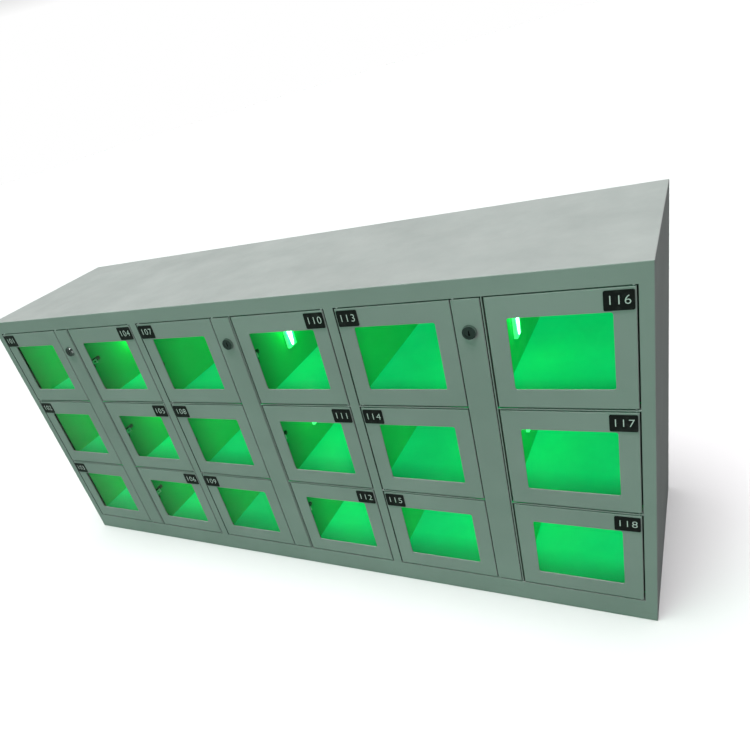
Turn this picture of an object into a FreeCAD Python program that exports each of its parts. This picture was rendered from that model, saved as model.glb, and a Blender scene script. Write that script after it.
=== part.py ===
"""Phone charging kiosk: a steel cabinet with eighteen locker compartments in three modules.

Frame: +X to the right, +Y to the rear, +Z up, millimetres. The origin is on the underside, midway across
the width and midway between the lock faces in front and the cabinet's rear edge.

Each module is a column of three doors, a narrow access panel with a cam lock, and a second column of three
doors. The access panel covers a service duct that holds the latches, the power supply and the control board.
Every door is hinged on the side away from its duct and latches on the duct's side.

The cabinet's front sheets are drawn lying down, with X across, Y up and Z towards the front, and are then
stood up by their Placement, so one sketch plane serves their pads and pockets.
"""

import FreeCAD, Part
import os

import Sketcher
from FreeCAD import Placement, Rotation, Vector

DIMENSIONS = {
    # cabinet
    "cab_height": 600.0,
    "cab_depth": 344.0,
    "module_width": 416.0,
    "mullion_width": 16.5,
    "stile_width": 17.0,
    "header_height": 27.5,
    "footer_height": 40.5,
    "sheet": 1.5,
    "flange_depth": 18.0,
    "wall_setback": 18.5,
    "back_inset": 6.0,
    "bend_radius": 1.2,
    # doors
    "door_width": 182.4,
    "door_depth": 14.0,
    "door_gap": 2.0,
    "window_width": 129.5,
    "window_height": 110.5,
    "window_drop": 1.3,
    "window_radius": 3.5,
    "pane_overlap": 5.0,
    "pane_thick": 3.0,
    "clip_size": 7.0,
    "stud_radius": 1.8,
    "stud_length": 7.5,
    "label_width": 35.0,
    "label_height": 26.5,
    "label_thick": 1.0,
    "label_inset": 2.0,
    "label_drop": 3.4,
    "label_radius": 2.2,
    "striker_width": 9.0,
    "striker_reach": 26.0,
    "striker_inset": 6.0,
    "striker_thick": 2.0,
    "eye_length": 6.0,
    "eye_height": 4.0,
    # hinges
    "pin_radius": 1.5,
    "pin_play": 0.06,
    "pin_setback": 3.5,
    "pin_reach": 4.0,
    # access panels
    "panel_width": 40.7,
    "panel_left": 185.6,
    "panel_depth": 12.0,
    "panel_setback": 3.0,
    "right_wall_left": 227.8,
    "left_wall_left": 184.65,
    # cam locks
    "lock_level": 521.0,
    "lock_proud": 4.0,
    "head_radius": 11.0,
    "barrel_radius": 9.0,
    "barrel_length": 20.0,
    "plug_radius": 6.5,
    "plug_play": 0.05,
    "key_width": 2.2,
    "key_height": 8.0,
    "key_depth": 3.0,
    "nut_radius": 13.0,
    "nut_thick": 3.0,
    "cam_length": 20.0,
    "cam_width": 11.0,
    "cam_thick": 2.0,
    "keeper_reach": 7.0,
    # what is fixed to the duct walls
    "slot_depth": 24.0,
    "slot_height": 9.0,
    "slot_setback": 20.0,
    "latch_depth": 36.0,
    "latch_height": 34.0,
    "latch_thick": 13.0,
    "nose_proud": 3.0,
    "lamp_setback": 132.0,
    "lamp_depth": 26.0,
    "lamp_height": 62.0,
    "lamp_thick": 5.0,
    "lamp_drop": 66.0,
    "port_setback": 205.0,
    "port_depth": 46.0,
    "port_height": 28.0,
    "port_thick": 6.0,
    "usb_width": 13.0,
    "usb_height": 5.5,
    # electrics in the ducts
    "supply_height": 160.0,
    "supply_depth": 98.0,
    "supply_thick": 30.0,
    "supply_setback": 150.0,
    "board_height": 110.0,
    "board_depth": 85.0,
    "board_thick": 1.6,
    "board_setback": 120.0,
    "board_level": 262.0,
    "chip_size": 14.0,
    "chip_thick": 3.0,
    "chip_inset": 12.0,
    "chip_level": 14.0,
    "chip_pitch": 34.0,
    "chip_rise": 40.0,
    "post_length": 4.0,
    "post_size": 8.0,
    "post_inset": 6.0,
    "post_rise": 90.0,
    # rear panel
    "bolt_radius": 5.0,
    "bolt_spacing": 1120.0,
    "bolt_rise": 400.0,
    "bolt_level": 100.0,
    "inlet_width": 27.5,
    "inlet_height": 20.0,
    "inlet_level": 62.0,
    "flange_over": 5.0,
    "inlet_deep": 22.0,
    "blade_width": 2.0,
    "blade_length": 14.0,
    "blade_height": 4.0,
    "blade_pitch": 7.0,
    "vent_width": 28.0,
    "vent_height": 3.5,
    "vent_pitch": 9.0,
    "vent_level": 440.0,
    "screw_radius": 3.5,
    "screw_thick": 2.0,
    "screw_inset": 20.0,
}

MODULES = 3
ROWS = 3
VENTS = 8

# Lengths and places that follow from the driving dimensions, as expressions on the sheet.
WIDTH = "(3*Dims.module_width+2*Dims.mullion_width+2*Dims.stile_width)"
FRONT = "(-(Dims.cab_depth-Dims.lock_proud)/2)"
REAR = "((Dims.cab_depth+Dims.lock_proud)/2)"
OPENING_HEIGHT = "(Dims.cab_height-Dims.header_height-Dims.footer_height)"
DOOR_HEIGHT = "((" + OPENING_HEIGHT + "-6*Dims.door_gap-2*Dims.sheet)/3)"
ROW_PITCH = "(" + DOOR_HEIGHT + "+2*Dims.door_gap+Dims.sheet)"
BACK_FRONT = "(" + REAR + "-Dims.back_inset-Dims.sheet)"
INNER_DEPTH = "(Dims.cab_depth-Dims.back_inset-Dims.sheet)"
HOLE_RADIUS = "(Dims.pin_radius+Dims.pin_play)"

STAND_UP = Rotation(Vector(1, 0, 0), 90)
EDGE_TOLERANCE = 1e-4

doc = FreeCAD.newDocument("PhoneChargingKiosk")
nodes = []


# ---------------------------------------------------------------- helpers


def make_sheet():
    """The driving dimensions, one aliased cell each."""
    sheet = doc.addObject("Spreadsheet::Sheet", "Dims")
    for row, (alias, value) in enumerate(DIMENSIONS.items(), start=1):
        sheet.set(f"A{row}", alias)
        sheet.set(f"B{row}", str(value))
        sheet.setAlias(f"B{row}", alias)
    doc.recompute()


def bind(thing, **expressions):
    """Binds properties to expressions; a double underscore stands for a dot."""
    for name, expression in expressions.items():
        thing.setExpression(name.replace("__", "."), expression)
    return thing


def move(thing, x="0", y="0", z="0"):
    """Binds the place of an object's origin."""
    return bind(thing, Placement__Base__x=x, Placement__Base__y=y, Placement__Base__z=z)


def stand(thing, x="0", y="0", z="0"):
    """Stands a piece up that was drawn lying down, and places its lower left rear corner."""
    thing.Placement = Placement(Vector(0, 0, 0), STAND_UP)
    return move(thing, x, y, z)


def box(name, size, at=("0", "0", "0")):
    piece = doc.addObject("Part::Box", name)
    bind(piece, Length=size[0], Width=size[1], Height=size[2])
    return move(piece, *at)


def cylinder(name, radius, height, at, axis=Vector(0, 0, 1)):
    piece = doc.addObject("Part::Cylinder", name)
    bind(piece, Radius=radius, Height=height)
    piece.Placement = Placement(Vector(0, 0, 0), Rotation(Vector(0, 0, 1), axis))
    return move(piece, *at)


def cut(name, base, *tools):
    """Base less every tool."""
    for number, tool in enumerate(tools):
        result = doc.addObject("Part::Cut", name if number == len(tools) - 1 else f"{name}_step{number}")
        result.Base = base
        result.Tool = tool
        base = result
    return base


def fuse(name, *pieces):
    result = doc.addObject("Part::MultiFuse", name)
    result.Shapes = list(pieces)
    result.Refine = True
    return result


def group(name, pieces):
    """Separate solids that share one node."""
    result = doc.addObject("Part::Compound", name)
    result.Links = list(pieces)
    return result


def node(label, thing):
    """Names a finished sub-part, which becomes one file."""
    thing.Label = label
    nodes.append(thing)
    return thing


def plane(body, role):
    return next(f for f in body.Origin.OriginFeatures if f.Role == role)


def rectangle(sketch, number, left, bottom, width, height):
    """Adds a rectangle whose left, bottom, width and height are expressions; "0" puts a side on its axis."""
    first = sketch.GeometryCount
    corners = [Vector(5, 5, 0), Vector(9, 5, 0), Vector(9, 9, 0), Vector(5, 9, 0)]
    for start, end in zip(corners, corners[1:] + corners[:1]):
        sketch.addGeometry(Part.LineSegment(start, end), False)
    for side in range(4):
        sketch.addConstraint(Sketcher.Constraint("Coincident", first + side, 2, first + (side + 1) % 4, 1))
    for side, kind in enumerate(("Horizontal", "Vertical", "Horizontal", "Vertical")):
        sketch.addConstraint(Sketcher.Constraint(kind, first + side))

    def distance(kind, name, start, start_end, end, end_end, expression):
        index = sketch.addConstraint(Sketcher.Constraint(kind, start, start_end, end, end_end, 5.0))
        sketch.renameConstraint(index, name)
        sketch.setExpression(f"Constraints.{name}", expression)

    if left == "0":
        sketch.addConstraint(Sketcher.Constraint("PointOnObject", first, 1, -2))
    else:
        distance("DistanceX", f"left{number}", -1, 1, first, 1, left)
    if bottom == "0":
        sketch.addConstraint(Sketcher.Constraint("PointOnObject", first, 1, -1))
    else:
        distance("DistanceY", f"bottom{number}", -1, 1, first, 1, bottom)
    distance("DistanceX", f"width{number}", first, 1, first, 2, width)
    distance("DistanceY", f"height{number}", first + 1, 1, first + 1, 2, height)


def circle(sketch, number, x, y, radius):
    """Adds a circle whose centre and radius are expressions."""
    index = sketch.addGeometry(Part.Circle(Vector(5, 5, 0), Vector(0, 0, 1), 1.0), False)
    for kind, name, ends, expression in (
        ("DistanceX", "x", (-1, 1, index, 3), x),
        ("DistanceY", "y", (-1, 1, index, 3), y),
        ("Radius", "radius", (index,), radius),
    ):
        constraint = sketch.addConstraint(Sketcher.Constraint(kind, *ends, 1.0))
        sketch.renameConstraint(constraint, f"{name}{number}")
        sketch.setExpression(f"Constraints.{name}{number}", expression)


def sketch_on(body, role, name):
    sketch = body.newObject("Sketcher::SketchObject", name)
    sketch.AttachmentSupport = [(plane(body, role), "")]
    sketch.MapMode = "FlatFace"
    return sketch


def new_body(name):
    return doc.addObject("PartDesign::Body", name)


def pad(body, name, rectangles, length, role="XY_Plane"):
    sketch = sketch_on(body, role, f"{name}_sketch")
    for number, sides in enumerate(rectangles):
        rectangle(sketch, number, *sides)
    feature = body.newObject("PartDesign::Pad", name)
    feature.Profile = sketch
    sketch.Visibility = False
    return bind(feature, Length=length)


def pocket(body, name, rectangles=(), circles=(), length=None, role="XY_Plane"):
    """Cuts from an origin plane towards the solid: +Z from XY_Plane, +Y from XZ_Plane."""
    sketch = sketch_on(body, role, f"{name}_sketch")
    for number, sides in enumerate(rectangles):
        rectangle(sketch, number, *sides)
    for number, where in enumerate(circles):
        circle(sketch, number, *where)
    feature = body.newObject("PartDesign::Pocket", name)
    feature.Profile = sketch
    feature.Reversed = role == "XY_Plane"
    if length is None:
        feature.Type = "ThroughAll"
    else:
        bind(feature, Length=length)
    return feature


def fillet(body, name, radius, wanted):
    """Rounds every edge of the body's tip that wanted(edge) accepts."""
    doc.recompute()
    tip = body.Tip
    edges = [f"Edge{i}" for i, edge in enumerate(tip.Shape.Edges, start=1) if wanted(edge)]
    if not edges:
        raise RuntimeError(f"{body.Name}: no edge to round for {name}")
    feature = body.newObject("PartDesign::Fillet", name)
    feature.Base = (tip, edges)
    return bind(feature, Radius=radius)


def along(edge, axis):
    """True for a straight edge parallel to an axis."""
    if not isinstance(edge.Curve, Part.Line):
        return False
    span = edge.Vertexes[1].Point - edge.Vertexes[0].Point
    return span.cross(axis).Length < EDGE_TOLERANCE


def upright(edge):
    return along(edge, Vector(0, 0, 1))


def rounded_plate(name, width, height, thick, radius):
    """A flat plate with rounded corners, drawn lying down."""
    body = new_body(name)
    pad(body, f"{name}_plate", [("0", "0", width, height)], thick)
    fillet(body, f"{name}_corners", radius, upright)
    return body


# ---------------------------------------------------------------- where things are


def opening_left(module):
    return f"(-{WIDTH}/2+Dims.stile_width+{module}*(Dims.module_width+Dims.mullion_width))"


def door_left(module, side):
    if side == "left":
        return f"({opening_left(module)}+Dims.door_gap)"
    return f"({opening_left(module)}+Dims.module_width-Dims.door_gap-Dims.door_width)"


def door_bottom(row):
    """Row 0 is the top one."""
    return f"(Dims.footer_height+Dims.door_gap+{ROWS - 1 - row}*{ROW_PITCH})"


def shelf_level(row):
    """Underside of the shelf that is the floor of a row."""
    return f"({door_bottom(row)}-Dims.door_gap-Dims.sheet)"


def wall_face(module, side):
    """The face of the duct wall that looks into the compartments."""
    if side == "left":
        return f"({opening_left(module)}+Dims.left_wall_left)"
    return f"({opening_left(module)}+Dims.right_wall_left+Dims.sheet)"


def outwards(module, side, proud):
    """Left edge of a piece of thickness proud that stands on a duct wall, inside a compartment."""
    face = wall_face(module, side)
    return f"({face}-{proud})" if side == "left" else face


# ---------------------------------------------------------------- cabinet


def outer_panels():
    """Top sheet and two side sheets, welded at their edges, open at the front, rear and underside."""
    depth = "(Dims.cab_depth-Dims.sheet)"
    front = f"({FRONT}+Dims.sheet)"
    sides = []
    for number, left in enumerate((f"(-{WIDTH}/2)", f"({WIDTH}/2-Dims.sheet)")):
        plate = box(f"side_plate_{number}", ("Dims.sheet", depth, "Dims.cab_height"), (left, front, "0"))
        doc.recompute()
        top = plate.Shape.BoundBox.ZMax
        half = max(plate.Shape.BoundBox.XMax, -plate.Shape.BoundBox.XMin)
        folds = [
            i
            for i, edge in enumerate(plate.Shape.Edges, start=1)
            if along(edge, Vector(0, 1, 0))
            and abs(edge.CenterOfMass.z - top) < EDGE_TOLERANCE
            and abs(abs(edge.CenterOfMass.x) - half) < EDGE_TOLERANCE
        ]
        rounded = doc.addObject("Part::Fillet", f"side_{number}")
        rounded.Base = plate
        radius = DIMENSIONS["bend_radius"]
        rounded.Edges = [(i, radius, radius) for i in folds]
        sides.append(rounded)
    top_sheet = box(
        "top_sheet",
        (f"({WIDTH}-2*Dims.sheet)", depth, "Dims.sheet"),
        (f"(-{WIDTH}/2+Dims.sheet)", front, "(Dims.cab_height-Dims.sheet)"),
    )
    return node("outer_panels", group("outer", [top_sheet, *sides]))


def front_frame():
    """Front sheet with header, footer, stiles and mullions, and a flange round each module's opening."""
    body = new_body("frame_body")
    front = "Dims.flange_depth"
    openings = [
        (
            f"({opening_left(module)}+{WIDTH}/2)",
            "Dims.footer_height",
            "Dims.module_width",
            OPENING_HEIGHT,
        )
        for module in range(MODULES)
    ]
    rings = [
        (f"({x}-Dims.sheet)", f"({y}-Dims.sheet)", f"({w}+2*Dims.sheet)", f"({t}+2*Dims.sheet)")
        for x, y, w, t in openings
    ]
    pad(body, "frame_rings", rings, front)
    plate = pad(body, "frame_plate", [("0", "0", WIDTH, "Dims.cab_height")], "Dims.sheet")
    plate.Profile[0].setExpression("AttachmentOffset.Base.z", f"{front}-Dims.sheet")
    pocket(body, "frame_openings", rectangles=openings)
    holes = [
        (f"({x}+{WIDTH}/2)", f"(Dims.flange_depth-{setback})", HOLE_RADIUS) for x, setback in pin_columns()
    ]
    pocket(body, "frame_pin_holes", circles=holes, role="XZ_Plane")

    def outline(edge):
        box_ = edge.BoundBox
        size = body.Tip.Shape.BoundBox
        in_front = abs(box_.ZMin - size.ZMax) < EDGE_TOLERANCE
        on_side = abs(box_.XMax - size.XMin) < EDGE_TOLERANCE
        on_side = on_side or abs(box_.XMin - size.XMax) < EDGE_TOLERANCE
        on_end = abs(box_.YMax - size.YMin) < EDGE_TOLERANCE
        on_end = on_end or abs(box_.YMin - size.YMax) < EDGE_TOLERANCE
        return in_front and (on_side or on_end)

    fillet(body, "frame_outline", "Dims.bend_radius", outline)
    return node("front_frame", stand(body, f"-{WIDTH}/2", f"({FRONT}+Dims.flange_depth)"))


def bottom_panel():
    """Floor of the cabinet, with a stiffening flange folded up at the rear."""
    inner = f"({WIDTH}-2*Dims.sheet)"
    left = f"(-{WIDTH}/2+Dims.sheet)"
    plate = box(
        "bottom_plate",
        (inner, "(Dims.cab_depth-Dims.sheet)", "Dims.sheet"),
        (left, f"({FRONT}+Dims.sheet)", "0"),
    )
    flange = box(
        "bottom_flange",
        (inner, "Dims.sheet", "Dims.flange_depth"),
        (left, f"({REAR}-Dims.sheet)", "0"),
    )
    return node("bottom_panel", fuse("bottom", plate, flange))


def back_panel():
    """Rear sheet with the wall bolt holes, a vent behind each duct and the power inlet's cut-out."""
    body = new_body("back_body")
    inner = f"({WIDTH}-2*Dims.sheet)"
    pad(body, "back_plate", [("0", "0", inner, "(Dims.cab_height-2*Dims.sheet)")], "Dims.sheet")
    bolts = [
        (
            f"({inner}/2{sign}Dims.bolt_spacing/2)",
            f"(Dims.bolt_level+{step}*Dims.bolt_rise-Dims.sheet)",
            "Dims.bolt_radius",
        )
        for sign in "-+"
        for step in (0, 1)
    ]
    pocket(body, "back_bolts", circles=bolts)
    vents = [
        (
            f"({duct_centre(module)}+{inner}/2-Dims.vent_width/2)",
            f"(Dims.vent_level+{step}*Dims.vent_pitch)",
            "Dims.vent_width",
            "Dims.vent_height",
        )
        for module in range(MODULES)
        for step in range(VENTS)
    ]
    pocket(body, "back_vents", rectangles=vents)
    inlet = (
        f"({duct_centre(MODULES - 1)}+{inner}/2-Dims.inlet_width/2)",
        "(Dims.inlet_level-Dims.inlet_height/2-Dims.sheet)",
        "Dims.inlet_width",
        "Dims.inlet_height",
    )
    pocket(body, "back_inlet", rectangles=[inlet])
    stand(body, f"(-{WIDTH}/2+Dims.sheet)", f"({REAR}-Dims.back_inset)", "Dims.sheet")
    return node("back_panel", body)


def duct_centre(module):
    return f"({opening_left(module)}+(Dims.left_wall_left+Dims.right_wall_left+Dims.sheet)/2)"


def dividers():
    """One plate behind each mullion, between neighbouring modules."""
    plates = [
        box(
            f"divider_{module}",
            ("Dims.sheet", f"({INNER_DEPTH}-Dims.wall_setback)", "(Dims.cab_height-2*Dims.sheet)"),
            (
                f"({opening_left(module)}-Dims.mullion_width/2-Dims.sheet/2)",
                f"({FRONT}+Dims.wall_setback)",
                "Dims.sheet",
            ),
        )
        for module in range(1, MODULES)
    ]
    return node("divider_plates", group("dividers", plates))


def latch_slot(module, side, row):
    """The slot in a duct wall through which a latch reaches a door's striker."""
    left = f"({wall_face(module, side)}-2*Dims.sheet)"
    return box(
        f"slot_{module}_{side}_{row}",
        ("4*Dims.sheet", "Dims.slot_depth", "Dims.slot_height"),
        (
            left,
            f"({FRONT}+Dims.slot_setback)",
            f"({door_bottom(row)}+({DOOR_HEIGHT}-Dims.slot_height)/2)",
        ),
    )


def duct_wall(module, side):
    """A full-height plate between the duct and a column of compartments. The right one shows in front."""
    left = f"({opening_left(module)}+Dims.{side}_wall_left)"
    plate = box(
        f"wall_plate_{module}_{side}",
        ("Dims.sheet", f"({INNER_DEPTH}-Dims.wall_setback)", "(Dims.cab_height-2*Dims.sheet)"),
        (left, f"({FRONT}+Dims.wall_setback)", "Dims.sheet"),
    )
    if side == "right":
        edge = box(
            f"wall_edge_{module}",
            ("Dims.sheet", "Dims.wall_setback", OPENING_HEIGHT),
            (left, FRONT, "Dims.footer_height"),
        )
        plate = fuse(f"wall_fused_{module}", plate, edge)
    return cut(f"wall_{module}_{side}", plate, *[latch_slot(module, side, row) for row in range(ROWS)])


def keeper(module):
    """A lug welded to the right duct wall, just in front of the turned cam."""
    wall = f"({opening_left(module)}+Dims.right_wall_left)"
    return box(
        f"keeper_{module}",
        ("Dims.keeper_reach", "Dims.sheet", "1.6*Dims.cam_width"),
        (
            f"({wall}-Dims.keeper_reach)",
            f"({FRONT}+Dims.barrel_length-Dims.sheet-0.6)",
            "(Dims.lock_level-0.8*Dims.cam_width)",
        ),
    )


def shelf(module, side, row):
    """A compartment's floor. It shows as a thin edge between two doors, except in the bottom row."""
    body = new_body(f"shelf_{module}_{side}_{row}")
    inner_edge = wall_face(module, side)
    if side == "left":
        inner_edge = f"({opening_left(module)}+Dims.left_wall_left)"
    at_end = (module, side) in ((0, "left"), (MODULES - 1, "right"))
    beside = "(Dims.stile_width-Dims.sheet)" if at_end else "(Dims.mullion_width/2-Dims.sheet/2)"
    if side == "left":
        left = f"({opening_left(module)}-{beside})"
        width = f"({inner_edge}-{left})"
        tongue_left = beside
    else:
        left = inner_edge
        width = f"({opening_left(module)}+Dims.module_width+{beside}-{left})"
        tongue_left = "0"
    tongue_width = f"({width}-{beside})"
    depth = f"({INNER_DEPTH}-Dims.wall_setback)"
    pad(body, f"shelf_plate_{module}_{side}_{row}", [("0", "Dims.wall_setback", width, depth)], "Dims.sheet")
    if row < ROWS - 1:
        tongue = [(tongue_left, "0", tongue_width, "Dims.wall_setback")]
        pad(body, f"shelf_tongue_{module}_{side}_{row}", tongue, "Dims.sheet")
        pin = f"({pin_x(module, side)}-{left})"
        pocket(body, f"shelf_pin_{module}_{side}_{row}", circles=[(pin, "Dims.pin_setback", HOLE_RADIUS)])
    return move(body, left, FRONT, shelf_level(row))


# ---------------------------------------------------------------- hinges


def pin_x(module, side):
    """The hinge axis of a column of doors, on the side away from the duct."""
    left = door_left(module, side)
    if side == "left":
        return f"({left}+Dims.pin_setback)"
    return f"({left}+Dims.door_width-Dims.pin_setback)"


def panel_pin_x(module):
    return f"({opening_left(module)}+Dims.panel_left+Dims.panel_setback)"


def pin_columns():
    """Every hinge axis that ends in the frame's flanges, with its setback from the front."""
    columns = []
    for module in range(MODULES):
        columns.append((pin_x(module, "left"), "Dims.pin_setback"))
        columns.append((panel_pin_x(module), "Dims.panel_setback"))
        columns.append((pin_x(module, "right"), "Dims.pin_setback"))
    return columns


def hinge_pins():
    """Plain pins through the shelves and the frame's flanges into the doors' and panels' own flanges."""
    pins = []
    short = "(Dims.sheet+Dims.door_gap+Dims.pin_reach)"
    low = "(Dims.footer_height-Dims.sheet)"
    high = f"(Dims.cab_height-Dims.header_height-Dims.door_gap-Dims.pin_reach)"
    for number, (x, setback) in enumerate(pin_columns()):
        for end, level in (("low", low), ("high", high)):
            at = (x, f"({FRONT}+{setback})", level)
            pins.append(cylinder(f"pin_{end}_{number}", "Dims.pin_radius", short, at))
    long = "(Dims.sheet+2*Dims.door_gap+2*Dims.pin_reach)"
    for module in range(MODULES):
        for side in ("left", "right"):
            for row in range(ROWS - 1):
                level = f"({shelf_level(row)}-Dims.door_gap-Dims.pin_reach)"
                at = (pin_x(module, side), f"({FRONT}+Dims.pin_setback)", level)
                pins.append(cylinder(f"pin_{module}_{side}_{row}", "Dims.pin_radius", long, at))
    return node("hinge_pins", group("pins", pins))


# ---------------------------------------------------------------- doors and windows


def front_outline(body):
    """Accepts the straight edges round the front face of a pan that was drawn lying down."""

    def wanted(edge):
        size = body.Tip.Shape.BoundBox
        bounds = edge.BoundBox
        if abs(bounds.ZMin - size.ZMax) > EDGE_TOLERANCE:
            return False
        at_side = min(abs(bounds.XMax - size.XMin), abs(bounds.XMin - size.XMax))
        at_end = min(abs(bounds.YMax - size.YMin), abs(bounds.YMin - size.YMax))
        return min(at_side, at_end) < EDGE_TOLERANCE

    return wanted


def door_pan(tag, side):
    """A shallow pan with a window opening and a pin hole in its top and bottom flanges."""
    body = new_body(f"pan_{tag}")
    inner = ("Dims.sheet", "Dims.sheet", "(Dims.door_width-2*Dims.sheet)", f"({DOOR_HEIGHT}-2*Dims.sheet)")
    pad(body, f"pan_plate_{tag}", [("0", "0", "Dims.door_width", DOOR_HEIGHT)], "Dims.door_depth")
    pocket(body, f"pan_hollow_{tag}", rectangles=[inner], length="(Dims.door_depth-Dims.sheet)")
    window = (
        "((Dims.door_width-Dims.window_width)/2)",
        f"(({DOOR_HEIGHT}-Dims.window_height)/2-Dims.window_drop)",
        "Dims.window_width",
        "Dims.window_height",
    )
    pocket(body, f"pan_window_{tag}", rectangles=[window])
    pin = "Dims.pin_setback" if side == "left" else "(Dims.door_width-Dims.pin_setback)"
    hole = (pin, "(Dims.door_depth-Dims.pin_setback)", HOLE_RADIUS)
    pocket(body, f"pan_pins_{tag}", circles=[hole], role="XZ_Plane")
    edge_length = DIMENSIONS["sheet"]
    fillet(
        body,
        f"pan_window_corners_{tag}",
        "Dims.window_radius",
        lambda edge: upright(edge) and abs(edge.Length - edge_length) < EDGE_TOLERANCE,
    )
    fillet(body, f"pan_bends_{tag}", "Dims.bend_radius", front_outline(body))
    return body


def striker(tag, side, module, row):
    """The tongue on a door that its latch takes hold of, with an eye near its end."""
    if side == "left":
        left = f"({door_left(module, side)}+Dims.door_width-Dims.striker_inset-Dims.striker_thick)"
    else:
        left = f"({door_left(module, side)}+Dims.striker_inset)"
    level = f"({door_bottom(row)}+({DOOR_HEIGHT}-Dims.striker_width)/2)"
    tongue = box(
        f"tongue_{tag}",
        ("Dims.striker_thick", "Dims.striker_reach", "Dims.striker_width"),
        (left, f"({FRONT}+Dims.sheet)", level),
    )
    eye = box(
        f"eye_{tag}",
        ("(3*Dims.striker_thick)", "Dims.eye_length", "Dims.eye_height"),
        (
            f"({left}-Dims.striker_thick)",
            f"({FRONT}+Dims.striker_reach-Dims.eye_length-Dims.striker_thick/2)",
            f"({level}+(Dims.striker_width-Dims.eye_height)/2)",
        ),
    )
    return cut(f"striker_{tag}", tongue, eye)


def label(tag, side, module, row):
    """The number plate in the top corner of a door, on the hinge's side."""
    plate = rounded_plate(
        f"label_{tag}", "Dims.label_width", "Dims.label_height", "Dims.label_thick", "Dims.label_radius"
    )
    if side == "left":
        left = f"({door_left(module, side)}+Dims.label_inset)"
    else:
        left = f"({door_left(module, side)}+Dims.door_width-Dims.label_inset-Dims.label_width)"
    level = f"({door_bottom(row)}+{DOOR_HEIGHT}-Dims.label_drop-Dims.label_height)"
    return stand(plate, left, FRONT, level)


def window(tag, side, module, row):
    """A clear pane behind the door's opening, with six clips on studs round its edge."""
    width = "(Dims.window_width+2*Dims.pane_overlap)"
    height = "(Dims.window_height+2*Dims.pane_overlap)"
    left = f"({door_left(module, side)}+(Dims.door_width-{width})/2)"
    level = f"({door_bottom(row)}+({DOOR_HEIGHT}-{height})/2-Dims.window_drop)"
    pane = rounded_plate(f"pane_{tag}", width, height, "Dims.pane_thick", "Dims.window_radius")
    stand(pane, left, f"({FRONT}+Dims.sheet+Dims.pane_thick)", level)
    pieces = [pane]
    for across, end in (("0", "left"), (width, "right")):
        for step in range(3):
            rise = f"({step}*({height}-Dims.clip_size)/2)"
            clip_left = f"({left}+{across}-Dims.clip_size/2)"
            outer = f"({left}+{across}{'-' if end == 'left' else '+'}(Dims.stud_radius+0.2))"
            name = f"clip_{tag}_{end}_{step}"
            tab = box(
                f"{name}_tab",
                ("Dims.clip_size", "1.2", "Dims.clip_size"),
                (clip_left, f"({FRONT}+Dims.sheet+Dims.pane_thick)", f"({level}+{rise})"),
            )
            stud = cylinder(
                f"{name}_stud",
                "Dims.stud_radius",
                "Dims.stud_length",
                (outer, f"({FRONT}+Dims.sheet)", f"({level}+{rise}+Dims.clip_size/2)"),
                Vector(0, 1, 0),
            )
            pieces.append(fuse(name, tab, stud))
    return group(f"window_group_{tag}", pieces)


def doors():
    """Eighteen doors, numbered down each column from the left."""
    number = 0
    for module in range(MODULES):
        for side in ("left", "right"):
            for row in range(ROWS):
                number += 1
                tag = f"{number:02d}"
                pan = stand(
                    door_pan(tag, side),
                    door_left(module, side),
                    f"({FRONT}+Dims.door_depth)",
                    door_bottom(row),
                )
                pieces = [pan, striker(tag, side, module, row), label(tag, side, module, row)]
                node(f"door_{tag}", group(f"door_group_{tag}", pieces))
                node(f"window_{tag}", window(tag, side, module, row))


# ---------------------------------------------------------------- access panels and cam locks


def lock_x(module):
    return f"({opening_left(module)}+Dims.panel_left+Dims.panel_width/2)"


def access_panel(module):
    """A tall narrow pan over the service duct, hinged on its left side."""
    body = new_body(f"access_{module}")
    height = f"({OPENING_HEIGHT}-2*Dims.door_gap)"
    bottom = "(Dims.footer_height+Dims.door_gap)"
    inner = ("Dims.sheet", "Dims.sheet", "(Dims.panel_width-2*Dims.sheet)", f"({height}-2*Dims.sheet)")
    pad(body, f"access_plate_{module}", [("0", "0", "Dims.panel_width", height)], "Dims.panel_depth")
    pocket(body, f"access_hollow_{module}", rectangles=[inner], length="(Dims.panel_depth-Dims.sheet)")
    hole = ("(Dims.panel_width/2)", f"(Dims.lock_level-{bottom})", "(Dims.barrel_radius+0.1)")
    pocket(body, f"access_lock_{module}", circles=[hole])
    pin = ("Dims.panel_setback", "(Dims.panel_depth-Dims.panel_setback)", HOLE_RADIUS)
    pocket(body, f"access_pins_{module}", circles=[pin], role="XZ_Plane")
    fillet(body, f"access_bends_{module}", "Dims.bend_radius", front_outline(body))
    stand(body, f"({opening_left(module)}+Dims.panel_left)", f"({FRONT}+Dims.panel_depth)", bottom)
    return node(f"access_panel_{module + 1}", body)


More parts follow.
